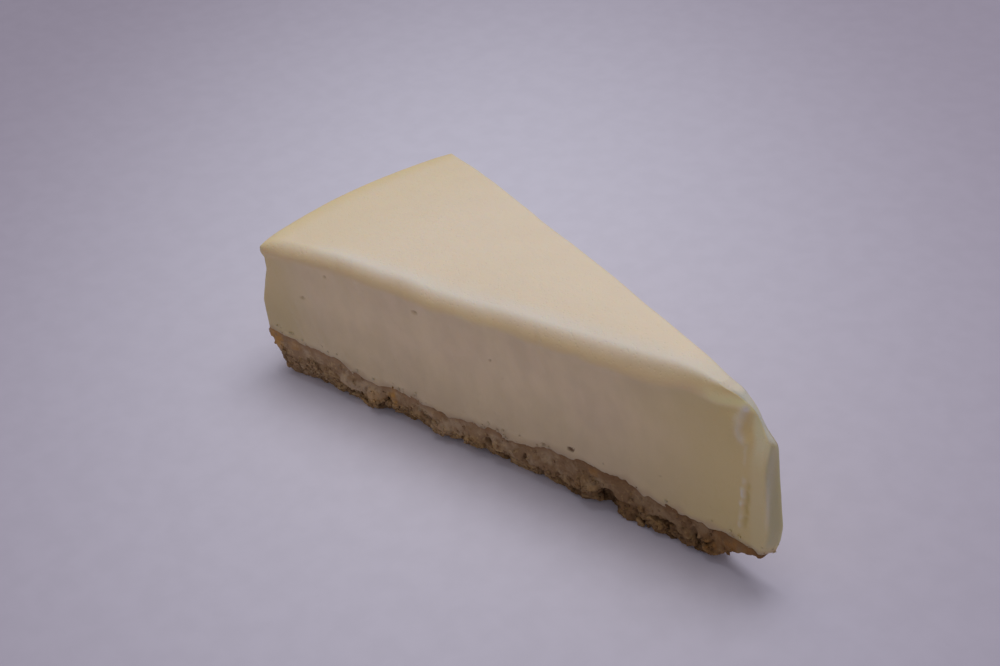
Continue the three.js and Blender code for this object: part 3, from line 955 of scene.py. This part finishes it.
@dataclass
class CrumbBase:
    """The pressed crumb layer: packed under the custard, and broken into lumps and clefts towards its foot."""

    form: SliceForm = FORM
    finish: CrumbFinish = CrumbFinish()
    voxel: float = 0.27
    flatness: float = 0.004
    reach: float = 1.9
    corner: float = 0.5
    foot_share: float = 0.5
    foot_line: tuple = (
        *((6.0, -0.2), (14.0, -0.1), (20.0, 0.5), (26.0, 0.5), (30.0, -0.1), (37.0, 2.8), (43.0, 0.0)),
        *((48.0, 1.6), (56.0, 2.2), (66.0, 1.9), (74.0, 2.4), (82.0, 0.5), (88.0, 2.2), (92.0, 2.0)),
        *((99.0, 0.1), (104.0, 1.9), (110.0, 1.6), (117.0, 2.4), (124.0, 1.3)),
    )
    heel_line: tuple = ((-15.5, 0.0), (-13.0, 0.8), (-10.0, 1.8), (-6.0, 3.8), (-4.0, 4.9), (-2.0, 6.2), (1.9, 8.2))
    relief_band: tuple = (-2.6, 3.0)
    relief_heights: tuple = (-0.5, 13.0)
    lid_gap: float = 0.1
    lid_fall: float = 1.4
    lid_reach: tuple = (1.0, 4.0)
    depth_limit: float = 3.0
    chunk: float = 0.55
    chunk_size: float = 6.5
    crumb: float = 0.3
    crumb_size: float = 2.3
    grit: float = 0.22
    grit_size: float = 0.95
    cleft: float = 0.75
    lumps: tuple = (
        Lump(126.6, 9.4, 2.6, 3.0, 0.3, toasted=0.9),
        Lump(120.8, 9.6, 2.4, 1.3, 0.1, toasted=0.4),
        Lump(104.5, 5.0, 3.2, 2.0, 0.6, light=0.15),
        Lump(100.2, 4.6, 0.9, 1.6, -0.5),
        Lump(97.6, 4.6, 2.1, 2.6, 0.9, toasted=0.4, light=0.3),
        Lump(91.9, 5.8, 1.3, 2.4, 0.25, toasted=1.0),
        Lump(79.6, 4.6, 3.9, 3.2, 0.7),
        Lump(68.6, 5.8, 2.3, 1.9, 0.6),
        Lump(65.9, 4.9, 0.9, 1.3, -1.2),
        Lump(63.6, 5.5, 1.3, 1.7, 0.5, light=0.3),
        Lump(57.7, 4.8, 1.2, 1.5, 0.5, light=0.3),
        Lump(55.9, 4.6, 0.7, 1.5, -1.1),
        Lump(50.8, 5.6, 3.8, 2.3, 0.5),
        Lump(40.2, 4.9, 3.8, 2.6, 1.0, light=0.1),
        Lump(35.4, 3.0, 2.9, 2.8, -2.0),
        Lump(37.6, 9.3, 2.0, 1.0, 0.1, toasted=0.6),
        Lump(31.2, 7.0, 2.4, 2.6, 0.4),
        Lump(22.0, 4.2, 3.2, 0.6, -1.2),
        Lump(22.8, 2.7, 1.7, 1.2, 0.7, light=0.4),
        Lump(16.3, 3.9, 2.1, 1.2, 0.7, light=0.4),
        Lump(14.3, 4.8, 0.8, 1.5, -0.9),
        Lump(10.2, 3.6, 2.0, 1.8, 0.5, toasted=0.7),
        Lump(4.6, 6.8, 3.4, 1.6, 0.3, toasted=0.7, light=0.2),
        Lump(0.6, 8.0, 2.2, 1.2, 0.1, toasted=0.5),
    )

    def share(self, x: Array, y: Array, z: Array) -> Array:
        """Gives the height as a share of the layer's."""
        return z / self.form.layer_height(x, y)

    def inward(self, x: Array, y: Array, z: Array) -> Array:
        """Gives how far inside the even outline a place is, along the floor."""
        f = self.form
        sides = [
            y + f.front_width(x),
            f.back_width(x) - y,
            f.cake_radius + f.side_reach(z) - np.hypot(x, y),
            self.reach - x,
        ]
        inside = sides[0]
        for other in sides[1:]:
            inside = (inside + other - np.hypot(inside - other, self.corner)) / 2.0
        return inside

    def looseness(self, x: Array, y: Array, z: Array) -> Array:
        """Is 0 where the crumbs are packed, under the custard, and 1 where they are broken."""
        edge = 0.56 + 0.24 * noise(8.0, x, y, 3.0) + 0.16 * noise(2.6, x, y, z)
        return 1.0 - ease(self.share(x, y, z), edge - 0.16, edge + 0.12)

    def known(self, x: Array, y: Array, z: Array) -> tuple[Array, Array, Array]:
        """Sums up the known lumps.

        Args:
            x, y, z: places near the crust's face, as flat arrays.

        Returns:
            How far the face stands out, how toasted it is, and how much paler.
        """
        r = np.hypot(x, y)
        front = 1.0 - ease(y + self.form.front_width(x), 2.5, 4.5)
        ragged = 0.28 * noise(1.7, x, y, z) + 0.12 * noise(0.7, x, y, z)
        out, toasted, light = np.zeros(x.shape), np.zeros(x.shape), np.zeros(x.shape)
        for lump in self.lumps:
            q = np.hypot((r - lump.r) / lump.width, (z - lump.z) / lump.height) + ragged
            inside = front * (1.0 - ease(q, 0.62, 1.12))
            out += lump.out * inside
            toasted = np.maximum(toasted, lump.toasted * inside)
            light = np.maximum(light, lump.light * inside)
        return out, toasted, light

    def relief(self, x: Array, y: Array, z: Array) -> tuple[Array, dict[str, Array]]:
        """Gives the crumbs' relief.

        Args:
            x, y, z: places near the crust's face, as flat arrays.

        Returns:
            How far the face stands out, and the values that the finish reads, by name.
        """
        loose = self.looseness(x, y, z)
        whole = 1.0 - 0.7 * ease(np.hypot(x, y), 104.0, 120.0)
        across = x + 0.9 * noise(2.4, x, y, z)
        up = z + 0.7 * noise(2.1, y, z, x)
        chunk_in, chunk = grains(self.chunk_size, across, y, up, 1.0)
        crumb_in, crumb = grains(self.crumb_size, across, y, up, 2.0)
        grit_in, grit = grains(self.grit_size, x, y, z, 3.0)
        chunk_gap, crumb_gap = 1.0 - ease(chunk_in, 0.0, 0.16), 1.0 - ease(crumb_in, 0.0, 0.2)
        broken = self.chunk * (2.0 * chunk - 1.0) - self.cleft * chunk_gap
        broken += self.crumb * (2.0 * crumb - 1.0) - 0.4 * self.cleft * crumb_gap
        packed = 0.25 * noise(4.5, x, y, z) + 0.16 * noise(1.8, x, y, z) + 0.2 * (crumb - 0.5) - 0.12 * crumb_gap
        known, toasted, light = self.known(x, y, z)
        out = loose * whole * broken + (1.0 - loose) * packed + known
        out += (0.55 + 0.45 * loose) * (self.grit * (grit - 0.5) - 0.1 * (1.0 - ease(grit_in, 0.0, 0.3)))
        below = self.form.layer_height(x, y) - z
        # Painted shade in the gaps between chunks and crumbs and in the clefts.
        hollow = loose * np.maximum(0.8 * chunk_gap, 0.4 * crumb_gap) + 0.5 * np.clip(-known, 0.0, 1.0)
        patchy = np.clip(0.7 + 0.7 * noise(1.0, x, y, z), 0.0, 1.0)
        values = {
            "tone": np.clip(0.25 * chunk + 0.4 * crumb + 0.3 * grit + light + 0.3 * ease(x, -9.0, -4.0), 0.0, 1.0),
            "hollow": np.clip(hollow, 0.0, 1.0),
            "packed": 1.0 - loose * (0.6 + 0.3 * noise(6.0, x, y, z)) * (0.3 + 0.7 * whole),
            "seam": (1.0 - ease(below + 0.8 * noise(3.0, x, y, 7.0), 0.3, 2.2)) * 0.75,
            "toasted": np.maximum(toasted, 0.45 * ease(x, -16.0, -4.0)) * patchy,
            # Painted light and shade across the crust, by distance from the middle.
            "painted_light_outward": ease(np.hypot(x, y), 8.0, 92.0),
            "cling": (0.15 + 0.85 * loose) * window(self.share(x, y, z), (0.05, 0.2), (0.8, 0.92)),
        }
        return out, values

    def foot(self, x: Array, y: Array, z: Array) -> Array:
        """Gives how far the foot is crumbled back, or stands out where that is negative."""
        depth = follow(np.hypot(x, y) + 0.8 * noise(4.0, x, y), self.foot_line)
        depth = np.where(y < 0.0, depth, 0.8 * noise(9.0, x, y, 9.0)) + 0.3 * noise(3.5, x, y, 19.0)
        return depth * np.clip(1.0 - self.share(x, y, z) / self.foot_share, 0.0, 1.0) ** 1.3

    def lift(self, x: Array) -> Array:
        """Gives how far the crust is broken off above the floor, at x."""
        return follow(x, self.heel_line)

    def field(self) -> tuple[Array, Array]:
        """Gives the crust's depth field on a grid, negative inside, and the grid's lowest corner."""
        f, v = self.form, self.voxel
        low = np.array([-(f.cake_radius + 5.0), -30.0, -1.2])
        size = np.array([f.cake_radius + 10.0, 60.0, 14.4])
        axes = [low[n] + v * np.arange(int(size[n] / v)) for n in range(3)]
        x, y, z = np.meshgrid(*axes, indexing="ij", sparse=True)
        x, y, z = (np.ascontiguousarray(c) for c in np.broadcast_arrays(x, y, z))
        inside = self.inward(x, y, z) - self.foot(x, y, z)
        (least, most), (bottom, top) = self.relief_band, self.relief_heights
        band = (inside > least) & (inside < most) & (z > bottom) & (z < top)
        out = np.zeros(x.shape)
        out[band] = self.relief(x[band], y[band], z[band])[0]
        walls = -(inside + out)
        lid = f.layer_height(x, y) + self.lid_gap - self.lid_fall * ease(inside, *self.lid_reach)
        under = self.lift(x) + 1.2 * ease(self.lift(x), 0.1, 1.0) * noise(3.0, x, y, z) - z
        depth = np.maximum(np.maximum(walls, z - lid), under)
        return depth, low

    def draft(self) -> MeshDraft:
        """Turns the depth field into a closed mesh and reads the values that the finish needs."""
        depth, low = self.field()
        grid = openvdb.FloatGrid(background=self.depth_limit)
        grid.copyFromArray(np.clip(depth, -self.depth_limit, self.depth_limit).astype(np.float32))
        grid.transform = openvdb.createLinearTransform(voxelSize=self.voxel)
        points, triangles, quads = grid.convertToPolygons(isovalue=0.0, adaptivity=self.flatness)
        points = points.astype(float) + low
        points[:, 2] = np.maximum(points[:, 2], 0.0)
        faces = [face[::-1] for face in quads.tolist()] + [face[::-1] for face in triangles.tolist()]
        return MeshDraft(points, faces, self.relief(*points.T)[1])

    def build(self) -> bpy.types.Object:
        """Builds and dresses the piece."""
        piece = self.draft().make("crumb_base")
        attach(piece, self.finish.build(), "crust")
        return piece


# Loose crumbs


@dataclass(frozen=True)
class LooseCrumbs:
    """Crumbs that cling to a face, spread by Geometry Nodes where the face's own value "cling" lets them.

    The amount is in crumbs per square millimetre, and the smallest and largest sizes are in millimetres.
    """

    name: str
    amount: float
    smallest: float
    largest: float
    seed: int
    lightest: float = 1.0
    darkest: float = 0.2
    flattest: tuple = (0.6, 0.5, 0.35)
    fullest: tuple = (1.4, 1.1, 0.8)
    spin: tuple = (0.5, 0.5, math.pi)
    dent_scale: float = 1.3
    dent_reach: float = 1.6

    def tree(self) -> bpy.types.GeometryNodeTree:
        """Builds the tree that spreads the crumbs."""
        tree = bpy.data.node_groups.new("loose_crumbs", "GeometryNodeTree")
        sockets = (
            ("Face", "NodeSocketGeometry"),
            ("Crumbs per mm2", "NodeSocketFloat"),
            ("Smallest", "NodeSocketFloat"),
            ("Largest", "NodeSocketFloat"),
            ("Lightest", "NodeSocketFloat"),
            ("Seed", "NodeSocketInt"),
            ("Finish", "NodeSocketMaterial"),
        )
        for label, kind in sockets:
            tree.interface.new_socket(label, in_out="INPUT", socket_type=kind)
        tree.interface.new_socket("Crumbs", in_out="OUTPUT", socket_type="NodeSocketGeometry")

        def add(kind: str, inputs: dict | None = None, **settings: object) -> bpy.types.Node:
            """Adds a node to the tree."""
            return add_node(tree, kind, inputs, **settings)

        def draw(seed: int, low: object, high: object) -> bpy.types.NodeSocket:
            """Adds a random number between two limits, or a random vector where they are vectors."""
            kind, first, output = ("FLOAT_VECTOR", 0, 0) if isinstance(low, tuple) else ("FLOAT", 2, 1)
            limits = {first: low, first + 1: high, "Seed": seed}
            return add("FunctionNodeRandomValue", limits, data_type=kind).outputs[output]

        given = add("NodeGroupInput").outputs
        cling = add("GeometryNodeInputNamedAttribute", {"Name": "cling"}, data_type="FLOAT").outputs[0]
        density = add("ShaderNodeMath", {0: cling, 1: given["Crumbs per mm2"]}, operation="MULTIPLY").outputs[0]
        density = add("ShaderNodeMath", {0: density, 1: 1.0 / MM**2}, operation="MULTIPLY").outputs[0]
        spread = add(
            "GeometryNodeDistributePointsOnFaces",
            {"Mesh": given["Face"], "Density": density, "Seed": given["Seed"]},
            distribute_method="RANDOM",
        ).outputs
        block = add("GeometryNodeMeshCube", {"Size": (1.0, 1.0, 1.0), 1: 3, 2: 3, 3: 3}).outputs[0]
        dents = add("ShaderNodeTexNoise", {"Scale": self.dent_scale, "Detail": 1.0}).outputs["Color"]
        shift = add("ShaderNodeVectorMath", {0: dents, 1: (0.5, 0.5, 0.5)}, operation="SUBTRACT").outputs[0]
        shift = add("ShaderNodeVectorMath", {0: shift, "Scale": self.dent_reach}, operation="SCALE").outputs[0]
        block = add("GeometryNodeSetPosition", {"Geometry": block, "Offset": shift}).outputs[0]
        block = add("GeometryNodeSetShadeSmooth", {"Geometry": block, "Shade Smooth": True}).outputs[0]
        size = draw(3, given["Smallest"], given["Largest"])
        size = add("ShaderNodeMath", {0: size, 1: MM}, operation="MULTIPLY").outputs[0]
        shape = draw(5, self.flattest, self.fullest)
        shape = add("ShaderNodeVectorMath", {0: shape, "Scale": size}, operation="SCALE").outputs[0]
        spin = draw(7, tuple(-angle for angle in self.spin), self.spin)
        turn = add(
            "FunctionNodeRotateRotation",
            {0: spread["Rotation"], 1: spin},
            rotation_space="LOCAL",
        ).outputs[0]
        placed = add(
            "GeometryNodeInstanceOnPoints",
            {"Points": spread["Points"], "Instance": block, "Rotation": turn, "Scale": shape},
        ).outputs[0]
        tone = draw(9, self.darkest, given["Lightest"])
        placed = add(
            "GeometryNodeStoreNamedAttribute",
            {"Geometry": placed, "Name": "tone", "Value": tone},
            data_type="FLOAT",
            domain="INSTANCE",
        ).outputs[0]
        whole = add("GeometryNodeRealizeInstances", {"Geometry": placed}).outputs[0]
        dressed = add("GeometryNodeSetMaterial", {"Geometry": whole, "Material": given["Finish"]}).outputs[0]
        add("NodeGroupOutput", {"Crumbs": dressed})
        return tree

    def build(self, face: bpy.types.Object, slot: str, material: bpy.types.Material) -> bpy.types.Object:
        """Spreads the crumbs over a face.

        Args:
            face: the piece that they cling to.
            slot: not used.
            material: their finish.

        Returns:
            The crumbs as one plain mesh object.
        """
        carrier = bpy.data.objects.new(f"{self.name}_carrier", face.data.copy())
        bpy.context.scene.collection.objects.link(carrier)
        modifier = carrier.modifiers.new("crumbs", "NODES")
        modifier.node_group = tree = self.tree()
        given = {
            "Crumbs per mm2": self.amount,
            "Smallest": self.smallest,
            "Largest": self.largest,
            "Lightest": self.lightest,
            "Seed": self.seed,
            "Finish": material,
        }
        for item in tree.interface.items_tree:
            if item.name in given:
                modifier[item.identifier] = given[item.name]
        seen = carrier.evaluated_get(bpy.context.evaluated_depsgraph_get())
        mesh = bpy.data.meshes.new_from_object(seen)
        mesh.name = self.name
        carrier.modifiers.clear()
        bpy.data.objects.remove(carrier)
        piece = bpy.data.objects.new(self.name, mesh)
        bpy.context.scene.collection.objects.link(piece)
        attach(piece, material)
        return piece


# The studio


@dataclass(frozen=True)
class PhotoCamera:
    """The camera at the photograph's place: where it is, and which way its right side and its top point."""

    place_mm: tuple = (226.315, -175.289, 226.866)
    right: tuple = (0.63356, 0.76945, -0.08094)
    up: tuple = (-0.39890, 0.41450, 0.81797)
    lens: float = 61.2

    def build(self) -> bpy.types.Object:
        """Adds the camera and makes it the scene's."""
        data = bpy.data.cameras.new("photo_camera")
        data.lens, data.sensor_width, data.clip_start = self.lens, 36.0, 0.01
        camera = bpy.data.objects.new("photo_camera", data)
        right, up = Vector(self.right).normalized(), Vector(self.up).normalized()
        turn = Matrix((right, up, right.cross(up))).transposed().to_4x4()
        camera.matrix_world = Matrix.Translation(Vector(self.place_mm) * MM) @ turn
        bpy.context.scene.collection.objects.link(camera)
        bpy.context.scene.camera = camera
        return camera


class Lamp(Enum):
    """The studio's lamps: where each stands, its size, in metres, its turn, in radians, and its strength, in watts."""

    OVERHEAD = ((-0.0246, 0.098, 0.62), (0.415, 0.304), 0.693, 1.53)


@dataclass(frozen=True)
class Studio:
    """A pale floor under one large soft lamp, in even grey light."""

    floor_size: float = 6.0
    even_light: Colour = (0.285, 0.275, 0.283)
    table: TableFinish = TableFinish()

    def build(self) -> None:
        """Adds the floor, the lamps and the even light."""
        half = self.floor_size / 2.0
        mesh = bpy.data.meshes.new("floor")
        mesh.from_pydata([(-half, -half, 0), (half, -half, 0), (half, half, 0), (-half, half, 0)], [], [(0, 1, 2, 3)])
        mesh.materials.append(self.table.build())
        floor = bpy.data.objects.new("floor", mesh)
        bpy.context.scene.collection.objects.link(floor)
        floor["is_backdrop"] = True
        for lamp in Lamp:
            place, size, turn, power = lamp.value
            data = bpy.data.lights.new(lamp.name.lower(), "AREA")
            data.shape, data.size, data.size_y, data.energy = "RECTANGLE", *size, power
            light = bpy.data.objects.new(lamp.name.lower(), data)
            light.location = place
            aim = (Vector(place) - Vector((0.0, 0.0, 0.02))).to_track_quat("Z", "Y")
            light.rotation_euler = (aim @ Quaternion((0.0, 0.0, 1.0), turn)).to_euler()
            bpy.context.scene.collection.objects.link(light)
        world = bpy.data.worlds.new("even_light")
        world.use_nodes = True
        world.node_tree.nodes["Background"].inputs["Color"].default_value = (*self.even_light, 1.0)
        bpy.context.scene.world = world
        bpy.context.scene.view_settings.view_transform = "Standard"
        bpy.context.scene.view_settings.look = "None"


def write_sizes() -> None:
    """Writes the CAD model's box and the visual model's box."""
    boxes = {"cad": [list(c) for c in CAD_BOX], "visual": [list(c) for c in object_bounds()]}
    for key, box in boxes.items():
        log.info("%s box: %s", key, [[round(v, 5) for v in corner] for corner in box])


def main() -> None:
    """Builds the camera, the layers and the studio in order."""
    PhotoCamera().build()
    Studio().build()
    custard = BakedCustard().build()
    crust = CrumbBase().build()
    cream, crumb = custard.data.materials[0], crust.data.materials[0]
    LooseCrumbs("cut_flakes", amount=0.5, smallest=0.25, largest=0.6, seed=4).build(custard, "custard", cream)
    LooseCrumbs("cut_crumbs", amount=0.03, smallest=0.2, largest=0.45, seed=6).build(custard, "crust", crumb)
    LooseCrumbs("crust_grit", amount=0.8, smallest=0.35, largest=1.0, seed=9, lightest=0.8).build(crust, "crust", crumb)
    crust.data.flip_normals()  # outwards, and only now, because the grit's places depend on how the faces turn
    write_sizes()


if __name__ == "__main__":
    main()
